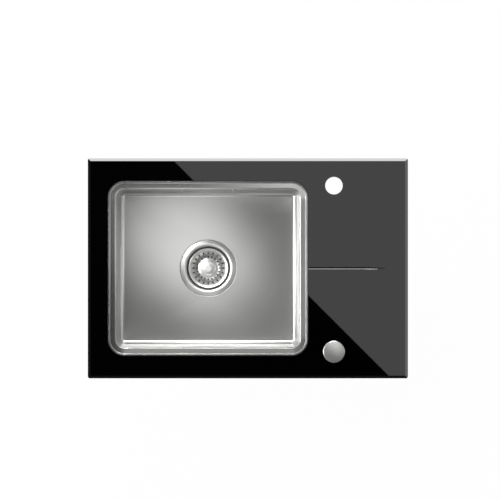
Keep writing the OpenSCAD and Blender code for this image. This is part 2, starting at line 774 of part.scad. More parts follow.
seal_edge_r = basket_r + 2.2;
seal_z = cone_z + (seal_edge_r + slack - seat_r) * cone_h / seat_cone_w;
basket_rim_z = seal_z + 2.6;
basket_lip_r = basket_r - 4.2;
basket_lip_z = basket_rim_z - 1.2;
basket_wall_h = 18;
trough_out_r = 26.6;
trough_in_r = 25.6;
trough_z = basket_rim_z - basket_wall_h;
hub_wall_r = 20.4;
hub_wall_h = 9;
hub_wall_z = trough_z + hub_wall_h;
hub_slope_h = 1.6;
disc_r = 13.8;
disc_h = 1;
hub_top_z = hub_wall_z + hub_slope_h + 2 * disc_h;
stem_r = 2.5;
slot_w = 2.4;
outer_slot_l = 8.5;
inner_slot_l = 7.4;
outer_slot_r = 30.3;
inner_slot_r = 23;
upper_hole_r = 34;
slot_cut = 2 * (basket_t + over);

// Height on the straight line from [r0, z0] to [r1, z1] at radius r
function height_at(r, r0, z0, r1, z1) = z0 + (z1 - z0) * (r - r0) / (r1 - r0);

// Stands at radius r all round on the wall that runs from [r0, z0] to [r1, z1]: X along it, Z through it
module round_wall(r, r0, z0, r1, z1)
    for (k = [0:slot_count - 1]) rotate(90 + 360 / slot_count * k)
        translate([r, 0, height_at(r, r0, z0, r1, z1)])
            rotate([0, atan2(r0 - r1, z0 - z1) + 90, 0]) children();
module on_outer_wall(r) round_wall(r, basket_lip_r, basket_lip_z, trough_out_r, trough_z) children();
module on_inner_wall(r) round_wall(r, hub_wall_r, hub_wall_z, trough_in_r, trough_z) children();

module strainer_basket() color([0.85, 0.85, 0.84]) at_waste() difference() {
    rotate_extrude() sheet(rounded([
        [basket_r, basket_rim_z - 2.4],
        [basket_r, basket_rim_z, 1],
        [basket_lip_r, basket_lip_z, 1],
        [trough_out_r, trough_z, 0.6],
        [trough_in_r, trough_z, 0.6],
        [hub_wall_r, hub_wall_z, 2],
        [disc_r + 0.7, hub_wall_z + hub_slope_h],
        [disc_r, hub_wall_z + hub_slope_h + disc_h],
        [disc_r / 2, hub_top_z, 3],
        [0, hub_top_z]
    ], 5), basket_t);
    on_outer_wall(outer_slot_r) slot(outer_slot_l, slot_w, slot_cut);
    on_outer_wall(upper_hole_r) cylinder(d = slot_w, h = slot_cut, center = true);
    on_inner_wall(inner_slot_r) slot(inner_slot_l, slot_w, slot_cut);
    translate([0, 0, hub_top_z - basket_t - over]) cylinder(r = stem_r, h = basket_t + 2 * over);
}

module basket_seal() color([0.04, 0.04, 0.04]) at_waste() rotate_extrude() polygon([
    [basket_r, seal_z + 1.6],
    [seal_edge_r, seal_z + 1],
    [seal_edge_r, seal_z],
    [basket_r + 1, seal_z - 1],
    [basket_r - 1.5, seal_z - 1],
    [basket_r - 1.5, seal_z + 0.2],
    [basket_r, seal_z + 0.2]
]);

knob_grip_h = 9;
module basket_knob() color([0.86, 0.86, 0.85]) at_waste() translate([0, 0, hub_top_z]) rotate_extrude() {
    r = basket_knob_d / 2;
    polygon(concat(
        rounded([
            [stem_r, 0],
            [r - 1.2, 0],
            [r - 2, knob_grip_h / 2, 3],
            [r, knob_grip_h - 2.5, 1],
            [r, knob_grip_h, 1.6],
            [0, knob_grip_h]
        ]),
        [[0, knob_grip_h - 3], [stem_r, knob_grip_h - 3]]
    ));
}

stem_collar_r = 6;
stem_collar_h = 3;
module basket_stem() color([0.7, 0.7, 0.71]) at_waste() {
    translate([0, 0, pin_top_z + slack])
        cylinder(r = stem_r, h = hub_top_z + knob_grip_h - 3 - pin_top_z - slack);
    translate([0, 0, hub_top_z - basket_t - stem_collar_h]) cylinder(r = stem_collar_r, h = stem_collar_h);
    translate([0, 0, pin_top_z + slack]) cylinder(r = stem_collar_r - 1, h = stem_collar_h);
}

// Control knob: a cap on a spindle that turns in a bush through the glass

module at_knob() translate([service_x, knob_y, 0]) children();

knob_r = knob_d / 2;
knob_edge_r = 1.8;
knob_wall = 2;
spindle_r = spindle_d / 2;
spindle_top_z = top_z + knob_h - 4;
washer_t = 1;
bush_r = service_hole_d / 2 - 0.6;
bush_flange_r = 19;
bush_flange_t = 2;
bush_top_z = top_z + washer_t + bush_flange_t;
neck_r = 12;
neck_z = glass_z - 10;
plate_t = 2;
clip_t = 1.2;
groove_r = 10.8;
bush_foot_z = neck_z - plate_t - clip_t - 1.8;
drum_top_z = bush_foot_z - slack;
drum_h = 12;
drum_flange_r = 12;
drum_flange_t = 1.6;
knob_turn = 90;
cable_pull = crank_l * sin(lever_angle);
drum_r = cable_pull / (knob_turn * PI / 180);
drum_mid_z = drum_top_z - drum_h / 2;
housing_r = housing_d / 2;
housing_foot_z = drum_top_z - drum_h - 2;
cover_t = 2.5;
boss_r = 3;
boss_inset = 4.5;
gland_boss_r = 6;
cover_screw_r = 1.5;

// Points of a dome of height c over the radius a, from its centre out
function dome(a, c, z, n = 8) =
    let (r = (a * a + c * c) / (2 * c))
    [for (i = [0:n]) [a * i / n, z + sqrt(r * r - pow(a * i / n, 2)) - r]];

module control_knob() color([0.62, 0.62, 0.61]) at_knob() rotate_extrude() polygon(concat(
    dome(knob_r - knob_edge_r, knob_crown, top_z + knob_h),
    rounded([
        [knob_r - knob_edge_r, top_z + knob_h - knob_crown],
        [knob_r, top_z + knob_h - knob_crown - 0.2, knob_edge_r - 0.4],
        [knob_r, top_z + 0.5]
    ]),
    [
        [knob_r - knob_wall, top_z + 0.5],
        [knob_r - knob_wall, spindle_top_z - 1],
        [spindle_r + 3, spindle_top_z - 1],
        [spindle_r + 3, bush_top_z + 1],
        [spindle_r, bush_top_z + 1],
        [spindle_r, spindle_top_z],
        [0, spindle_top_z]
    ]
));

module knob_spindle() color([0.75, 0.75, 0.76]) at_knob()
    translate([0, 0, housing_foot_z - cover_t + 0.5])
        cylinder(r = spindle_r, h = spindle_top_z - housing_foot_z + cover_t - 0.5);

module knob_washer() color([0.05, 0.05, 0.05]) at_knob()
    tube(bush_flange_r, bush_r, top_z, top_z + washer_t);

module knob_bush() color([0.15, 0.15, 0.16]) at_knob() difference() {
    union() {
        translate([0, 0, bush_top_z - bush_flange_t]) cylinder(r = bush_flange_r, h = bush_flange_t);
        translate([0, 0, neck_z]) cylinder(r = bush_r, h = bush_top_z - bush_flange_t - neck_z);
        translate([0, 0, neck_z - plate_t]) cylinder(r = neck_r, h = plate_t);
        translate([0, 0, neck_z - plate_t - clip_t]) cylinder(r = groove_r, h = clip_t);
        translate([0, 0, bush_foot_z]) cylinder(r = neck_r, h = neck_z - plate_t - clip_t - bush_foot_z);
    }
    translate([0, 0, bush_foot_z - over])
        cylinder(r = spindle_r + running, h = bush_top_z - bush_foot_z + 2 * over);
}

back_nut_t = 6;
module knob_nut() color([0.2, 0.2, 0.21]) at_knob() difference() {
    translate([0, 0, glass_z - back_nut_t]) cylinder(r = bush_r + 6.5, h = back_nut_t, $fn = 6);
    translate([0, 0, glass_z - back_nut_t - over]) cylinder(r = bush_r, h = back_nut_t + 2 * over);
}

module housing_clip() color([0.7, 0.7, 0.71]) at_knob() difference() {
    tube(neck_r + 2.5, groove_r, neck_z - plate_t - clip_t, neck_z - plate_t);
    translate([0, -neck_r / 2, neck_z - plate_t - clip_t - over])
        cube([2 * neck_r, neck_r, clip_t + 2 * over]);
}

module at_cover_screws() for (k = [0:2]) rotate(30 + 120 * k)
    translate([housing_r - boss_inset, 0, 0]) children();

module at_drum_gland() translate([-drum_r, housing_r, drum_mid_z]) rotate([-90, 0, 0]) children();

module knob_housing() color([0.15, 0.15, 0.16]) at_knob() difference() {
    union() {
        tube(housing_r, housing_r - knob_wall, housing_foot_z, neck_z);
        tube(housing_r - 1, neck_r, neck_z - plate_t, neck_z);
        at_cover_screws() translate([0, 0, housing_foot_z])
            cylinder(r = boss_r, h = neck_z - housing_foot_z);
        at_drum_gland() translate([0, 0, -knob_wall - 2]) cylinder(r = gland_boss_r, h = knob_wall + 2);
    }
    at_cover_screws() translate([0, 0, housing_foot_z - over]) cylinder(r = cover_screw_r, h = 10 + over);
    at_drum_gland() translate([0, 0, -knob_wall - 4]) cylinder(r = gland_r, h = knob_wall + 6);
}

module housing_cover() color([0.15, 0.15, 0.16]) at_knob() difference() {
    translate([0, 0, housing_foot_z - cover_t]) cylinder(r = housing_r, h = cover_t);
    translate([0, 0, housing_foot_z - cover_t - over])
        cylinder(r = spindle_r + running, h = cover_t + 2 * over);
    at_cover_screws() translate([0, 0, housing_foot_z - cover_t - over])
        cylinder(r = cover_screw_r, h = cover_t + 2 * over);
}

module cover_screws() color([0.75, 0.75, 0.76]) at_knob() at_cover_screws() {
    translate([0, 0, housing_foot_z - cover_t - 1.6]) cylinder(r = boss_r, h = 1.6);
    translate([0, 0, housing_foot_z - cover_t - 1]) cylinder(r = cover_screw_r, h = cover_t + 9);
}

module cable_drum() color([0.85, 0.84, 0.8]) at_knob() difference() {
    union() {
        translate([0, 0, drum_top_z - drum_h]) cylinder(r = drum_r, h = drum_h);
        for (z = [drum_top_z - drum_flange_t, drum_top_z - drum_h])
            translate([0, 0, z]) cylinder(r = drum_flange_r, h = drum_flange_t);
    }
    translate([0, 0, drum_top_z - drum_h - over]) cylinder(r = spindle_r, h = drum_h + 2 * over);
    translate([drum_r + 2, 0, drum_top_z - drum_h - over]) cylinder(r = 1.6, h = drum_flange_t + 2 * over);
}

module knob_cable_gland() color([0.2, 0.2, 0.21]) at_knob() at_drum_gland() cable_gland(knob_wall + 3);

glass_top();
bowl();
bowl_sealant();
sound_pads();
edge_seal();
rail_back();
rail_front();
rail_left();
rail_right();
rail_adhesive();
clamp_nuts();
clamp_screw_back_left();
clamp_screw_back_right();
clamp_screw_front_left();
clamp_screw_front_right();
clamp_screw_left();
clamp_screw_right();
clamp_claw_back_left();
clamp_claw_back_right();
clamp_claw_front_left();
clamp_claw_front_right();
clamp_claw_left();
clamp_claw_right();
overflow_box();
overflow_gasket();
overflow_screws();
waste_flange();
rim_seal();
body_gasket();
waste_body();
centre_screw();
centre_nut();
strainer_basket();
basket_knob();
basket_stem();
basket_seal();
lift_pin();
lift_lever();
lever_shaft();
lever_crank();
shaft_seal();
waste_cable_gland();
control_knob();
knob_spindle();
knob_bush();
knob_washer();
knob_nut();
knob_housing();
housing_clip();
housing_cover();
cover_screws();
cable_drum();
knob_cable_gland();
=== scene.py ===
# Inset glass sink with a steel bowl: finishes, fine pieces, studio and camera.
import bmesh
import bpy
import json
import math
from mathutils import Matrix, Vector


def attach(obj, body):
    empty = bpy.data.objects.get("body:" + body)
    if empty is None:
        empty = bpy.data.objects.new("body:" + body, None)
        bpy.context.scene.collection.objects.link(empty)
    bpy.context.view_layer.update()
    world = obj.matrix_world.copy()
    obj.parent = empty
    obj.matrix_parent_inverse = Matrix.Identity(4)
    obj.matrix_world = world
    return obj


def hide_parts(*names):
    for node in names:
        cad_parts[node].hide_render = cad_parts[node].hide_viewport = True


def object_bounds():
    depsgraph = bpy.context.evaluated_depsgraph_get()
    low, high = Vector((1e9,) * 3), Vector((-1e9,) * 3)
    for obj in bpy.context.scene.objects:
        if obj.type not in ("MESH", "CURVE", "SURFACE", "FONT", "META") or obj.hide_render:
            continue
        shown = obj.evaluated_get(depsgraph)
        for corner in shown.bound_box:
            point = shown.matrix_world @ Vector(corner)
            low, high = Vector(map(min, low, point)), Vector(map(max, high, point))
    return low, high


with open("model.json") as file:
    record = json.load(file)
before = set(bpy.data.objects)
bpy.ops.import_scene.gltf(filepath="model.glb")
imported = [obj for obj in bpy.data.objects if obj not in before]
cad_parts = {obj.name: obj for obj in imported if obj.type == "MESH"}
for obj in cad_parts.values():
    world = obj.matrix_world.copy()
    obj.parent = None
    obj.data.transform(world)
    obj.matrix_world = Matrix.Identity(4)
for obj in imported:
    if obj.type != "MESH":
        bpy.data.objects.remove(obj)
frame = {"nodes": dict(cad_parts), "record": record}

weld = 1e-6              # metres between points that count as one
sameLevel = 1e-5         # metres between heights that count as one
smoothAngle = 25         # degrees; edges that bend more stay sharp
cutterSides = 32         # of a round cutter
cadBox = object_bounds()
nodes = frame["nodes"]
print("frame loaded:", len(nodes), "nodes")


# Work in edit mode

def dropSelection():
    if bpy.context.object and bpy.context.object.mode != "OBJECT":
        bpy.ops.object.mode_set(mode="OBJECT")
    bpy.ops.object.select_all(action="DESELECT")


def selectPiece(piece):
    dropSelection()
    piece.select_set(True)
    bpy.context.view_layer.objects.active = piece


def editPiece(piece, kind, pick="DESELECT"):
    selectPiece(piece)
    bpy.ops.object.mode_set(mode="EDIT")
    bpy.ops.mesh.select_mode(type=kind)
    bpy.ops.mesh.select_all(action=pick)


def pickParts(piece, kind, test):
    # selects the edit mesh's verts, edges or faces that pass a test on their middle point
    mesh = bmesh.from_edit_mesh(piece.data)
    for part in getattr(mesh, kind):
        corners = [part.co] if kind == "verts" else [vert.co for vert in part.verts]
        part.select_set(test(part, sum(corners, Vector()) / len(corners)))
    bmesh.update_edit_mesh(piece.data)


def applyPlace(piece):
    selectPiece(piece)
    bpy.ops.object.transform_apply(location=True, rotation=True, scale=True)


def applyModifier(piece, kind, **settings):
    bpy.context.view_layer.objects.active = piece
    modifier = piece.modifiers.new(kind.lower(), kind)
    for key, value in settings.items():
        setattr(modifier, key, value)
    bpy.ops.object.modifier_apply(modifier=modifier.name)


def thickenSheet(piece, sheet):
    # turns the sheet that is being edited face up and thickens it downward
    upward = sum(1 if face.normal.z > 0 else -1 for face in bmesh.from_edit_mesh(piece.data).faces)
    if upward < 0:
        bpy.ops.mesh.select_all(action="SELECT")
        bpy.ops.mesh.flip_normals()
    dropSelection()
    applyModifier(piece, "SOLIDIFY", thickness=sheet, offset=-1, use_even_offset=True)


def smoothPiece(piece):
    # smooth shading that leaves the large flat faces flat
    selectPiece(piece)
    bpy.ops.object.shade_smooth_by_angle(angle=math.radians(smoothAngle))
    applyModifier(piece, "WEIGHTED_NORMAL", keep_sharp=True)


def finishPiece(piece, name, body, material, replaced):
    piece.name = name
    piece.data.name = name
    piece.data.materials.clear()
    piece.data.materials.append(material)
    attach(piece, body)
    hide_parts(*replaced)
    return piece


# Profiles: a list of corners (across, up, radius), with the rounded ones turned into arcs

def roundedProfile(corners, stepAngle):
    # stepAngle: the most degrees between two points of an arc
    path = []
    for i, corner in enumerate(corners):
        b = Vector(corner[:2])
        if len(corner) < 3:
            path.append(b)
            continue
        u = (Vector(corners[i - 1][:2]) - b).normalized()
        v = (Vector(corners[i + 1][:2]) - b).normalized()
        half = u.angle(v) / 2
        centre = b + (u + v).normalized() * corner[2] / math.sin(half)
        start = b + u * corner[2] / math.tan(half) - centre
        end = b + v * corner[2] / math.tan(half) - centre
        turn = start.angle_signed(end)
        count = max(2, math.ceil(abs(math.degrees(turn)) / stepAngle))
        for k in range(count + 1):
            angle = -turn * k / count
            path.append(centre + Vector((
                start.x * math.cos(angle) - start.y * math.sin(angle),
                start.x * math.sin(angle) + start.y * math.cos(angle))))
    return path


def pullLoops(path, centre):
    # extrudes the selected round loop along a path of radius and height
    for before, after in zip(path, path[1:]):
        rise, grow = after[1] - before[1], after[0] / before[0]
        bpy.ops.mesh.extrude_edges_move(TRANSFORM_OT_translate={"value": (0, 0, rise)})
        bpy.ops.transform.resize(value=(grow, grow, 1), center_override=(*centre, after[1]))


def turnedPiece(centre, path, segments):
    # a sheet pulled from a ring, as if turned on a lathe, and open at both ends
    dropSelection()
    radius, height = path[0]
    bpy.ops.mesh.primitive_circle_add(vertices=segments, radius=radius, location=(*centre, height))
    piece = bpy.context.object
    editPiece(piece, "EDGE", "SELECT")
    pullLoops(path, centre)
    bpy.ops.mesh.select_all(action="SELECT")
    bpy.ops.mesh.normals_make_consistent(inside=False)
    applyPlace(piece)
    return piece


def addPlate(place, halfX, halfY):
    # a level rectangle, left in edit mode with all of it selected
    dropSelection()
    bpy.ops.mesh.primitive_plane_add(size=2, location=place)
    plate = bpy.context.object
    editPiece(plate, "VERT", "SELECT")
    bpy.ops.transform.resize(value=(halfX, halfY, 1), center_override=place)
    return plate


# Materials; the node helpers take a material or the world as owner

def newMaterial(name, color, metallic, roughness):
    material = bpy.data.materials.new(name)
    material.use_nodes = True
    shader = material.node_tree.nodes["Principled BSDF"]
    shader.inputs["Base Color"].default_value = (*color, 1)
    shader.inputs["Metallic"].default_value = metallic
    shader.inputs["Roughness"].default_value = roughness
    return material, shader


def addNode(owner, kind, **settings):
    # each setting is the value of an input or a property of the node
    node = owner.node_tree.nodes.new(kind)
    for key, value in settings.items():
        if key in node.inputs:
            node.inputs[key].default_value = value
        else:
            setattr(node, key, value)
    return node


def wire(owner, output, target):
    owner.node_tree.links.new(output, target)


def heightOf(owner):
    coordinates = addNode(owner, "ShaderNodeTexCoord")
    parts = addNode(owner, "ShaderNodeSeparateXYZ")
    wire(owner, coordinates.outputs["Object"], parts.inputs["Vector"])
    return parts.outputs["Z"]


def placedNoise(owner, scale, detail, stretch=(1, 1, 1), roughness=0.5):
    coordinates = addNode(owner, "ShaderNodeTexCoord")
    mapping = addNode(owner, "ShaderNodeMapping", Scale=stretch)
    noise = addNode(owner, "ShaderNodeTexNoise", Scale=scale, Detail=detail, Roughness=roughness)
    wire(owner, coordinates.outputs["Object"], mapping.inputs["Vector"])
    wire(owner, mapping.outputs["Vector"], noise.inputs["Vector"])
    return noise.outputs["Fac"]


def spread(owner, source, low, high, start=0.3, end=0.7):
    # turns a value from start to end into one from low to high, two numbers or two colours
    if isinstance(low, tuple):
        ramp = addNode(owner, "ShaderNodeValToRGB")
        first, last = ramp.color_ramp.elements
        first.position, first.color = start, (*low, 1)
        last.position, last.color = end, (*high, 1)
        wire(owner, source, ramp.inputs["Fac"])
        return ramp.outputs["Color"]
    ends = {"From Min": start, "From Max": end, "To Min": low, "To Max": high}
    span = addNode(owner, "ShaderNodeMapRange", **ends)
    wire(owner, source, span.inputs["Value"])
    return span.outputs["Result"]


def combine(owner, operation, first, second):
    # the sum or the product of two outputs
    node = addNode(owner, "ShaderNodeMath", operation=operation)
    wire(owner, first, node.inputs[0])
    wire(owner, second, node.inputs[1])
    return node.outputs["Value"]


def addBump(material, shader, source, strength, distance):
    bump = addNode(material, "ShaderNodeBump", Strength=strength, Distance=distance)
    wire(material, source, bump.inputs["Height"])
    wire(material, bump.outputs["Normal"], shader.inputs["Normal"])


def blackGlass():
    color = (0.0004, 0.0004, 0.0005)
    material, shader = newMaterial("blackGlass", color, metallic=0.0, roughness=0.01)
    shader.inputs["IOR"].default_value = 1.6
    waves = placedNoise(material, scale=9, detail=1.0)
    addBump(material, shader, waves, strength=0.03, distance=0.0002)
    smears = placedNoise(material, scale=22, detail=5.0, stretch=(1, 0.5, 1))
    wire(material, spread(material, smears, 0.008, 0.014), shader.inputs["Roughness"])
    return material


def satinSteel():
    # deep-drawn steel: a satin floor, and walls brushed along their length, with painted shade on
    # the walls and the lip
    material, shader = newMaterial("satinSteel", (0.62, 0.62, 0.6), metallic=1.0, roughness=0.34)
    wallFoot, wallTop = (-0.1792, -0.178), (-0.006, 0.003)    # heights
    seatStep = (-0.1826, -0.18252)
    # the walls and the lip get tone 0.4 against about 0.6 for the floor and the ledge: painted shade
    # that dims their highlights
    paintedShadeStops = [                                             # height and tone
        (-0.186, 0.63), (-0.179, 0.62), (-0.172, 0.4), (-0.008, 0.4),
        (-0.001, 0.6), (0.0057, 0.62), (0.0068, 0.4), (0.011, 0.4),
    ]
    grain = placedNoise(material, scale=420, detail=4.0, stretch=(0.05, 1, 1), roughness=0.65)
    addBump(material, shader, grain, strength=0.03, distance=0.00003)
    height = heightOf(material)

    aboveFloor = spread(material, height, 0.0, 1.0, *wallFoot)
    belowLedge = spread(material, height, 1.0, 0.0, *wallTop)
    onWall = combine(material, "MULTIPLY", aboveFloor, belowLedge)
    brushed = spread(material, onWall, 0.23, 0.45, 0.0, 1.0)
    cloud = spread(material, placedNoise(material, scale=9, detail=1.0), 0.0, 0.015)
    sheetDull = combine(material, "ADD", brushed, cloud)
    seatDull = spread(material, height, 0.5, 0.0, *seatStep)
    wire(material, combine(material, "ADD", sheetDull, seatDull), shader.inputs["Roughness"])

    wire(material, spread(material, onWall, 0.0, 0.8, 0.0, 1.0), shader.inputs["Anisotropic"])
    around = addNode(material, "ShaderNodeTangent", direction_type="RADIAL", axis="Z")
    wire(material, around.outputs["Tangent"], shader.inputs["Tangent"])
    shader.inputs["Anisotropic Rotation"].default_value = 0.25

    # the tone by height is painted shade, not a change in the steel
    paintedShade = addNode(material, "ShaderNodeValToRGB")
    lowest, highest = paintedShadeStops[0][0], paintedShadeStops[-1][0]
    places = [(level - lowest) / (highest - lowest) for level, tone in paintedShadeStops]
    for place in places[1:-1]:
        paintedShade.color_ramp.elements.new(place)
    for stop, place, (level, tone) in zip(paintedShade.color_ramp.elements, places, paintedShadeStops):
        stop.position = place
        stop.color = (tone, tone, 0.98 * tone, 1)
    wire(material, spread(material, height, 0.0, 1.0, lowest, highest), paintedShade.inputs["Fac"])
    wire(material, paintedShade.outputs["Color"], shader.inputs["Base Color"])
    return material


def polishedSteel(name, color, shine, rest):
    # shine: the two heights between which the painted shade below gives way to the full colour
    # rest: the tone of that painted shade, as a share of the colour
    material, shader = newMaterial(name, color, metallic=1.0, roughness=0.36)
    smear = placedNoise(material, scale=60, detail=4.0)
    wire(material, spread(material, smear, 0.34, 0.38), shader.inputs["Roughness"])
    addBump(material, shader, smear, strength=0.06, distance=0.00006)
    # painted shade: the steel's colour is darker below the given heights, where the hollows lie
    unshadedShare = spread(material, heightOf(material), 0.0, 1.0, *shine)
    shadeColor = tuple(rest * c for c in color)
    wire(material, spread(material, unshadedShare, shadeColor, color, 0.0, 1.0), shader.inputs["Base Color"])
    return material


def knobSteel():
    material, shader = newMaterial("knobSteel", (0.8, 0.8, 0.78), metallic=1.0, roughness=0.31)
    grain = placedNoise(material, scale=1500, detail=2.0, roughness=0.6)
    addBump(material, shader, grain, strength=0.08, distance=0.00002)
    wire(material, spread(material, grain, 0.3, 0.33), shader.inputs["Roughness"])
    return material


def platedSteel(name, color, roughness):
    material, shader = newMaterial(name, color, 1.0, roughness)
    patches = placedNoise(material, scale=85, detail=5.0, roughness=0.7)
    wear = spread(material, patches, roughness - 0.06, roughness + 0.1)
    wire(material, wear, shader.inputs["Roughness"])
    dim = tuple(0.86 * c for c in color)
    wire(material, spread(material, patches, dim, color), shader.inputs["Base Color"])
    addBump(material, shader, patches, strength=0.08, distance=0.0001)
    return material


def mouldedPlastic(name, color, roughness):
    material, shader = newMaterial(name, color, 0.0, roughness)
    texture = placedNoise(material, scale=1300, detail=2.0)
    addBump(material, shader, texture, strength=0.25, distance=0.00008)
    wear = spread(material, texture, roughness - 0.05, roughness + 0.08)
    wire(material, wear, shader.inputs["Roughness"])
    flow = placedNoise(material, scale=30, detail=2.0)
    lift = tuple(1.25 * c + 0.004 for c in color)
    wire(material, spread(material, flow, color, lift), shader.inputs["Base Color"])
    return material


def softRubber(name, color, scale=700, height=0.00012, roughness=0.75):
    # scale and height: of the pores
    material, shader = newMaterial(name, color, 0.0, roughness)
    texture = placedNoise(material, scale, detail=3.0, roughness=0.7)
    addBump(material, shader, texture, strength=0.35, distance=height)
    lift = tuple(1.4 * c + 0.006 for c in color)
    wire(material, spread(material, texture, color, lift), shader.inputs["Base Color"])
    return material


def dampingSheet():
    # bitumen sheet with a pressed waffle, whose hollows are painted darker as shade
    material, shader = newMaterial("dampingSheet", (0.07, 0.07, 0.075), metallic=0.0, roughness=0.7)
    hollowShade, field = (0.055, 0.055, 0.06), (0.1, 0.1, 0.105)
    coordinates = addNode(material, "ShaderNodeTexCoord")
    waffle = addNode(material, "ShaderNodeTexVoronoi", distance="CHEBYCHEV", Scale=140.0,
                     Randomness=0.0)
    wire(material, coordinates.outputs["Object"], waffle.inputs["Vector"])
    depth = waffle.outputs["Distance"]
    addBump(material, shader, depth, strength=0.6, distance=0.0008)
    # painted shade: darker where the waffle is deepest
    wire(material, spread(material, depth, hollowShade, field, 0.1, 0.6), shader.inputs["Base Color"])
    return material


finishes = {
    "black_glass": blackGlass(),
    "bowl_steel": satinSteel(),
    # the basket is painted darker below its trough's upper part: painted shade in the trough
    "strainer_steel": polishedSteel("polishedSteel", (0.8, 0.8, 0.79), shine=(-0.204, -0.199),
                                    rest=0.62),
    "knob_metal": knobSteel(),
    "rail_steel": platedSteel("zincRail", (0.5, 0.51, 0.52), roughness=0.38),
    "fastener_steel": platedSteel("zincFastener", (0.56, 0.56, 0.54), roughness=0.3),
    "brass": platedSteel("machinedBrass", (0.72, 0.54, 0.26), roughness=0.28),
    "black_plastic": mouldedPlastic("blackPlastic", (0.028, 0.028, 0.03), roughness=0.42),
    "white_plastic": mouldedPlastic("whitePlastic", (0.62, 0.61, 0.57), roughness=0.35),
    "rubber": softRubber("blackRubber", (0.018, 0.018, 0.018)),
    "sealant": softRubber("blackSealant", (0.014, 0.014, 0.014), scale=90, height=0.0002,
                          roughness=0.4),
    "foam": softRubber("closedCellFoam", (0.06, 0.06, 0.062), scale=1600, height=0.0003,
                       roughness=0.9),
    "bitumen": dampingSheet(),
}
slotOf = {part["node"]: part["material_slot"] for part in frame["record"]["subparts"]}
for name, node in nodes.items():
    node.data.materials.clear()
    node.data.materials.append(finishes[slotOf[name]])
print("materials:", len(finishes))


# Bowl: a plate whose corners are rounded, then inset again and again down the press form

bowl = {
    "centre": (-0.080, 0.0),
    "cornerCentres": (0.1670, 0.1415),   # x and y of the plan's corner radii, from its middle
    "flange": 0.047,                     # radius of the flange's corners
    "cornerSegments": 19,
    "pressForm": [                       # distance from the corner centres, height, rounding
        (0.047, 0.001), (0.033, 0.001), (0.033, 0.010, 0.0014), (0.0286, 0.0055, 0.0015),
        (0.0166, 0.0049, 0.003), (0.0116, -0.180, 0.010), (0.0012, -0.180), (0.0009, -0.180),
    ],
    "pressStep": 8,                      # degrees between the points of a rounding
    "wastePress": [                      # radius and height from the floor to the seat's hole
        (0.0604, -0.1825), (0.0584, -0.1825), (0.0574, -0.1825, 0.0008), (0.0565, -0.1851, 0.0012),
        (0.0460, -0.1851),
    ],
    "wasteStep": 20,                     # degrees, as above
    "floorLoops": 10,                    # between the wall's foot and the waste
    "sheet": 0.001,
    "overflowHeight": -0.032,
    "overflowPitch": 0.032,
    "overflowSlot": (0.026, 0.0036),
    "overflowScrews": 0.051,             # from the middle slot to the screws' holes
    "overflowHole": (0.0041, 0.0041),
    "overflowCut": 0.02,                 # depth of the cutters, across the back wall
    "backWall": 0.1571,
}


def cutAway(piece, cutters):
    # takes the cutters out of a piece and deletes them
    for cutter in cutters:
        applyModifier(piece, "BOOLEAN", object=cutter, operation="DIFFERENCE", solver="EXACT")
        bpy.data.objects.remove(cutter)


def slotCutter(length, width, depth, place, turn, along="x"):
    # a pin whose halves are drawn apart into a slot with round ends, then put in its place
    dropSelection()
    bpy.ops.mesh.primitive_cylinder_add(vertices=cutterSides, radius=width / 2, depth=depth)
    cutter = bpy.context.object
    if length > width:
        editPiece(cutter, "VERT")
        for side in (-1, 1):
            pull = side * (length - width) / 2
            pickParts(cutter, "verts", lambda part, middle: getattr(middle, along) * side > weld)
            bpy.ops.transform.translate(value=(pull, 0, 0) if along == "x" else (0, pull, 0))
    dropSelection()
    cutter.location = place
    cutter.rotation_euler = turn
    applyPlace(cutter)
    return cutter


def overflowCutter(size, x):
    place = (x, bowl["backWall"], bowl["overflowHeight"])
    return slotCutter(*size, bowl["overflowCut"], place, (math.radians(90), 0, 0))


def makeBowl():
    form = bowl["pressForm"]
    x, y = bowl["centre"]
    halfX, halfY = (reach + bowl["flange"] for reach in bowl["cornerCentres"])
    piece = addPlate((x, y, form[0][1]), halfX, halfY)
    bpy.ops.mesh.bevel(offset=bowl["flange"], segments=bowl["cornerSegments"], affect="VERTICES")
    bpy.ops.mesh.select_all(action="SELECT")
    bpy.ops.mesh.select_mode(type="FACE")
    path = roundedProfile(form, bowl["pressStep"])
    for before, after in zip(path, path[1:]):
        bpy.ops.mesh.inset(thickness=max(0, before[0] - after[0]), depth=after[1] - before[1],
                           use_even_offset=True)
    bpy.ops.mesh.delete(type="ONLY_FACE")
    applyPlace(piece)

    # the waste press is pulled from a ring with as many corners as the floor's edge, and
    # then bridged to it
    count = 4 * (bowl["cornerSegments"] + 1)
    waste = roundedProfile(bowl["wastePress"], bowl["wasteStep"])
    ringRadius, ringLevel = waste[0]
    dropSelection()
    bpy.ops.mesh.primitive_circle_add(vertices=count, radius=ringRadius, location=(x, y, ringLevel),
                                      rotation=(0, 0, math.pi / count))
    applyPlace(bpy.context.object)
    piece.select_set(True)
    bpy.context.view_layer.objects.active = piece
    bpy.ops.object.join()
    editPiece(piece, "EDGE")
    pickParts(piece, "edges", lambda part, middle: abs(middle.z - ringLevel) < sameLevel)
    pullLoops(waste, (x, y))
    openLevels = (form[-1][1], ringLevel)
    pickParts(piece, "edges", lambda part, middle: len(part.link_faces) == 1 and any(
        abs(middle.z - level) < sameLevel for level in openLevels))
    bpy.ops.mesh.bridge_edge_loops(number_cuts=bowl["floorLoops"], interpolation="LINEAR")
    bpy.ops.mesh.select_all(action="SELECT")
    bpy.ops.mesh.remove_doubles(threshold=weld)
    bpy.ops.mesh.normals_make_consistent(inside=False)
    thickenSheet(piece, bowl["sheet"])
    pitch, screws = bowl["overflowPitch"], bowl["overflowScrews"]
    slots = [overflowCutter(bowl["overflowSlot"], x + i * pitch) for i in (-1, 0, 1)]
    holes = [overflowCutter(bowl["overflowHole"], x + side * screws) for side in (-1, 1)]
    cutAway(piece, slots + holes)
    smoothPiece(piece)
    return piece


bowlPiece = finishPiece(makeBowl(), "bowlPressing", "root", finishes["bowl_steel"],
                        ["bowl"])
print("bowl:", len(bowlPiece.data.polygons), "faces")


# Strainer flange and cup: one pressing, pulled on a lathe, with windows in the cup's floor

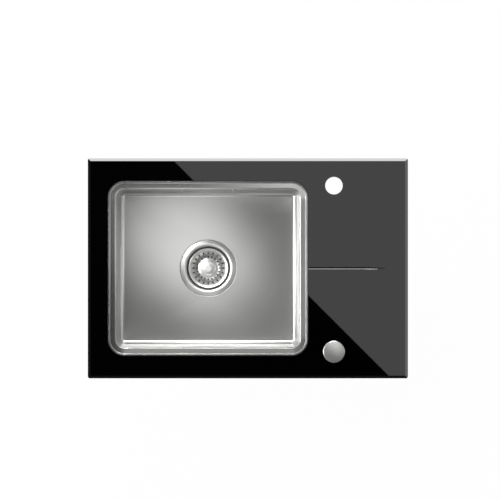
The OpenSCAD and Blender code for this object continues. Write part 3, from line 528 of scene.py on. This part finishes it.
flange = {
    "pressForm": [                       # radius, height, rounding
        (0.0562, -0.1832), (0.0485, -0.1813, 0.008), (0.0446, -0.1826, 0.002),
        (0.0417, -0.1916, 0.002), (0.0407, -0.2051, 0.003), (0.026, -0.2111, 0.002),
        (0.026, -0.2201, 0.002), (0.023, -0.2201), (0.011, -0.2201), (0.00505, -0.2201),
    ],
    "pressStep": 7,                      # degrees between the points of a rounding
    "sheet": 0.0009,
    "segments": 144,
    "windows": 5,
    "windowReach": (0.011, 0.023),       # radii between which they are open
    "windowAngle": 50,
}


def makeFlange():
    x, y = bowl["centre"]
    form = roundedProfile(flange["pressForm"], flange["pressStep"])
    piece = turnedPiece((x, y), form, flange["segments"])
    editPiece(piece, "FACE")
    pitch = 360 / flange["windows"]
    nearest, farthest = flange["windowReach"]

    def inWindow(part, middle):
        reach = math.hypot(middle.x - x, middle.y - y)
        angle = math.degrees(math.atan2(middle.y - y, middle.x - x)) % pitch
        return nearest < reach < farthest and angle < flange["windowAngle"]

    pickParts(piece, "faces", inWindow)
    bpy.ops.mesh.delete(type="FACE")
    thickenSheet(piece, flange["sheet"])
    smoothPiece(piece)
    return piece


# the cup's inside below the basket is painted dark, at a tenth of its tone: painted shade in the cup
cupSteel = polishedSteel("cupSteel", (0.74, 0.74, 0.73), shine=(-0.194, -0.19), rest=0.1)
flangePiece = finishPiece(makeFlange(), "strainerFlange", "root", cupSteel,
                          ["waste_flange"])
print("strainer flange:", len(flangePiece.data.polygons), "faces")


# Strainer basket: rim, pierced cone, trough and hub

basket = {
    "pressForm": [                       # radius, height, rounding
        (0.040, -0.18892), (0.040, -0.18652, 0.001), (0.0358, -0.18772, 0.001),
        (0.0266, -0.20452, 0.0006), (0.0256, -0.20452, 0.0006), (0.0204, -0.19552, 0.002),
        (0.0145, -0.19392), (0.0138, -0.19292), (0.0069, -0.19192, 0.003), (0.0025, -0.19192),
    ],
    "pressStep": 10,                     # degrees between the points of a rounding
    "sheet": 0.0008,
    "segments": 160,
    "slots": 20,                         # in each ring
    "slotWidth": 0.0024,
    "slotCut": 0.0036,                   # depth of the cutters
    "outerWall": ((0.0358, -0.18772), (0.0266, -0.20452)),
    "innerWall": ((0.0204, -0.19552), (0.0256, -0.20452)),
    "rings": [                           # wall, radius and length of the slots
        ("outerWall", 0.0303, 0.0085), ("outerWall", 0.034, 0.0024), ("innerWall", 0.023, 0.0074),
    ],
}


def slotRing(wall, radius, length):
    # one cutter square to the wall, long down its slope, copied round the axis
    x, y = bowl["centre"]
    top, foot = basket[wall]
    height = top[1] + (foot[1] - top[1]) * (radius - top[0]) / (foot[0] - top[0])
    slope = math.atan2(top[0] - foot[0], top[1] - foot[1])
    ring = slotCutter(length, basket["slotWidth"], basket["slotCut"], (x, y + radius, height),
                      (math.radians(90) - slope, 0, 0), "y")
    editPiece(ring, "FACE", "SELECT")
    pitch = 2 * math.pi / basket["slots"]
    bpy.ops.mesh.spin(steps=basket["slots"] - 1, dupli=True, angle=2 * math.pi - pitch,
                      center=(x, y, height), axis=(0, 0, 1))
    dropSelection()
    return ring


def makeBasket():
    form = roundedProfile(basket["pressForm"], basket["pressStep"])
    piece = turnedPiece(bowl["centre"], form, basket["segments"])

    # half a step further round, the slots' middles miss the mesh's edges
    editPiece(piece, "FACE", "SELECT")
    halfStep = math.pi / basket["segments"]
    bpy.ops.transform.rotate(value=halfStep, orient_axis="Z", center_override=(*bowl["centre"], 0))
    thickenSheet(piece, basket["sheet"])
    cutAway(piece, [slotRing(*ring) for ring in basket["rings"]])
    editPiece(piece, "VERT", "SELECT")
    bpy.ops.mesh.remove_doubles(threshold=weld)
    smoothPiece(piece)
    return piece


basketPiece = finishPiece(makeBasket(), "basketPressing", "basket", finishes["strainer_steel"],
                          ["strainer_basket"])
print("strainer basket:", len(basketPiece.data.polygons), "faces")


# Studio: camera, overhead cards that the glass reflects, lamps, floor and world

studio = {
    "viewWidth": 1.0,                    # metres across the picture
    "viewCentre": (0.0042, 0.0366),      # from the photograph's margins
    "lens": 700.0,
    "sensor": 36,
    "clipEnd": 100,
    "cardLine": 0.0682,                  # x + y where the glass's reflection turns black
    "cardSize": (-0.36, 0.36, -0.27, 0.27),      # left, right, front and back, as for each card
    "cardHeight": 1.0,
    "cardGap": 0.01,                     # from the white card up to the black one
    "cardGlow": 1.08,
    "bowlCard": (-0.250, 0.100, -0.152, 0.143),
    "bowlCardHeight": 0.10,              # grey card over the bowl, with a soft glow on it
    "bowlCardGlow": (1.17, 0.2),         # at the glow's middle and away from it
    "bowlGlowPlace": (-0.118, 0.039),
    "bowlGlowReach": (0.226, 0.165),
    "bowlGlowTurn": 142,
    "frontLedge": (-0.25, 0.09, -0.168, -0.146),
    "rightLedge": (0.092, 0.114, -0.14, 0.14),
    "ledgeHeight": 0.06,
    "glassEdges": (0.3185, 0.2185),      # x and y of the bevels' middles
    "bowlLip": (-0.28, 0.1745),          # x of its left side and y of its back
    "backLeft": (-0.707, 0.707),         # the way towards that corner
    "strainerHeight": -0.19,
    "floorSize": 30,
    "floorGap": 0.0005,                  # from the part's lowest point down to the floor
    "floorWhite": 0.98,                  # share of white in what the camera sees of it
    "world": 0.12,
}

distance = studio["lens"] / studio["sensor"] * studio["viewWidth"]
bpy.ops.object.camera_add(location=(*studio["viewCentre"], distance), rotation=(0, 0, 0))
camera = bpy.context.object
camera.data.lens = studio["lens"]
camera.data.sensor_width = studio["sensor"]
camera.data.clip_end = studio["clipEnd"]
bpy.context.scene.camera = camera


def glowMaterial(name, glow):
    material = bpy.data.materials.new(name)
    material.use_nodes = True
    material.node_tree.nodes.clear()
    shine = addNode(material, "ShaderNodeEmission", Color=(glow, glow, glow, 1))
    output = addNode(material, "ShaderNodeOutputMaterial")
    wire(material, shine.outputs[0], output.inputs[0])
    return material


def softGlow(material):
    # the card is brighter round one place, and fades to an even grey
    shine = next(node for node in material.node_tree.nodes if node.type == "EMISSION")
    coordinates = addNode(material, "ShaderNodeTexCoord")
    mapping = addNode(material, "ShaderNodeMapping", vector_type="TEXTURE",
                      Location=(*studio["bowlGlowPlace"], studio["bowlCardHeight"]),
                      Rotation=(0, 0, math.radians(studio["bowlGlowTurn"])),
                      Scale=(*studio["bowlGlowReach"], 1))
    away = addNode(material, "ShaderNodeVectorMath", operation="LENGTH")
    middle, rest = studio["bowlCardGlow"]
    fade = addNode(material, "ShaderNodeMapRange", interpolation_type="SMOOTHERSTEP",
                   **{"To Min": middle, "To Max": rest})
    wire(material, coordinates.outputs["Object"], mapping.inputs["Vector"])
    wire(material, mapping.outputs["Vector"], away.inputs[0])
    wire(material, away.outputs["Value"], fade.inputs["Value"])
    wire(material, fade.outputs["Result"], shine.inputs["Strength"])


def overheadCard(name, size, height, glow, cut=False):
    # a level card; cut keeps only the part beyond the diagonal
    left, right, front, back = size
    place = ((left + right) / 2, (front + back) / 2, height)
    card = addPlate(place, (right - left) / 2, (back - front) / 2)
    card.name = name
    if cut:
        line = studio["cardLine"] / 2
        bpy.ops.mesh.bisect(plane_co=(line, line, height), plane_no=(1, 1, 0), clear_inner=True)
    applyPlace(card)
    card.data.materials.append(glowMaterial(name, glow))
    card.visible_camera = False
    card.visible_shadow = False
    return card


overheadCard("whiteCard", studio["cardSize"], studio["cardHeight"], studio["cardGlow"], cut=True)
overheadCard("blackCard", studio["cardSize"], studio["cardHeight"] + studio["cardGap"], 0.0)
bowlCard = overheadCard("bowlCard", studio["bowlCard"], studio["bowlCardHeight"], glow=1.0)
softGlow(bowlCard.data.materials[0])
overheadCard("frontLedgeCard", studio["frontLedge"], studio["ledgeHeight"], glow=0.4)
overheadCard("rightLedgeCard", studio["rightLedge"], studio["ledgeHeight"], glow=0.3)


def addLamp(name, kind, place, target):
    # a lamp that is aimed at the target
    dropSelection()
    bpy.ops.object.light_add(type=kind, location=place)
    lamp = bpy.context.object
    lamp.name = name
    lamp.rotation_euler = (Vector(target) - Vector(place)).to_track_quat("-Z", "Y").to_euler()
    return lamp.data


def sideBox(name, edge, toward, angle, height, size, glow):
    # a soft box that a point on the glass's edge or the bowl's lip sees at an angle from straight up
    reach = height * math.tan(math.radians(angle))
    place = (edge[0] + toward[0] * reach, edge[1] + toward[1] * reach, height)
    light = addLamp(name, "AREA", place, (*edge, 0.0))
    light.shape = "RECTANGLE"
    light.size, light.size_y = size
    light.energy = math.pi * glow * (size[0] * size[1])


def spotLamp(name, target, aside, angle, away, beam, blend, radius, power):
    # a spot that shines on the target from an angle off straight up
    reach = away * math.sin(math.radians(angle))
    place = (target[0] + aside[0] * reach, target[1] + aside[1] * reach,
             target[2] + away * math.cos(math.radians(angle)))
    light = addLamp(name, "SPOT", place, target)
    light.spot_size = math.radians(beam)
    light.spot_blend = blend
    light.shadow_soft_size = radius
    light.energy = power


edgeX, edgeY = studio["glassEdges"]
lipX, lipY = studio["bowlLip"]
backLeft = studio["backLeft"]
bowlX = bowl["centre"][0]
sideBox("backStrip", (0.0, edgeY), (0, 1), angle=48.9, height=1.35, size=(1.2, 0.16), glow=12.4)
sideBox("rightStrip", (edgeX, 0.0), (1, 0), angle=51.0, height=1.35, size=(1.2, 0.40), glow=2.1)
sideBox("backBox", (0.0, edgeY), (0, 1), angle=59.0, height=1.1, size=(1.2, 0.46), glow=8.0)
sideBox("leftBox", (-edgeX, 0.0), (-1, 0), angle=59.0, height=1.1, size=(1.2, 0.46), glow=11.0)
sideBox("cornerBox", (-edgeX, edgeY), backLeft, angle=59.0, height=1.1, size=(0.9, 0.46), glow=6.5)
sideBox("backSoft", (bowlX, lipY), (0, 1), angle=41.5, height=1.1, size=(0.8, 0.3), glow=26.0)
sideBox("leftSoft", (lipX, 0.0), (-1, 0), angle=41.5, height=1.1, size=(0.8, 0.3), glow=28.0)
spotLamp("strainerKey", (*bowl["centre"], studio["strainerHeight"]), backLeft, angle=38, away=1.5,
         beam=4.6, blend=0.15, radius=0.08, power=95.0)

dropSelection()
floorPlace = (0, 0, cadBox[0][2] - studio["floorGap"])
bpy.ops.mesh.primitive_plane_add(size=studio["floorSize"], location=floorPlace)
floor = bpy.context.object
floor.name = "studioFloor"
floorMaterial, paper = newMaterial("studioFloor", (0.8, 0.8, 0.8), metallic=0.0, roughness=0.9)
paper.inputs["Specular IOR Level"].default_value = 0.0
rays = addNode(floorMaterial, "ShaderNodeLightPath")
white = addNode(floorMaterial, "ShaderNodeEmission", Strength=1.0)
blend = addNode(floorMaterial, "ShaderNodeMixShader")
shown = spread(floorMaterial, rays.outputs["Is Camera Ray"], 0.0, studio["floorWhite"], 0.0, 1.0)
wire(floorMaterial, shown, blend.inputs[0])
wire(floorMaterial, paper.outputs[0], blend.inputs[1])
wire(floorMaterial, white.outputs[0], blend.inputs[2])
wire(floorMaterial, blend.outputs[0], floorMaterial.node_tree.nodes["Material Output"].inputs[0])
floor.data.materials.append(floorMaterial)

world = bpy.data.worlds.new("studioWorld")
bpy.context.scene.world = world
world.use_nodes = True
world.node_tree.nodes.clear()
rays = addNode(world, "ShaderNodeLightPath")
sky = addNode(world, "ShaderNodeBackground")
output = addNode(world, "ShaderNodeOutputWorld")
strength = spread(world, rays.outputs["Is Camera Ray"], studio["world"], 1.0, 0.0, 1.0)
wire(world, strength, sky.inputs["Strength"])
wire(world, sky.outputs[0], output.inputs[0])
bpy.context.scene.view_settings.view_transform = "Standard"
print("studio ready")
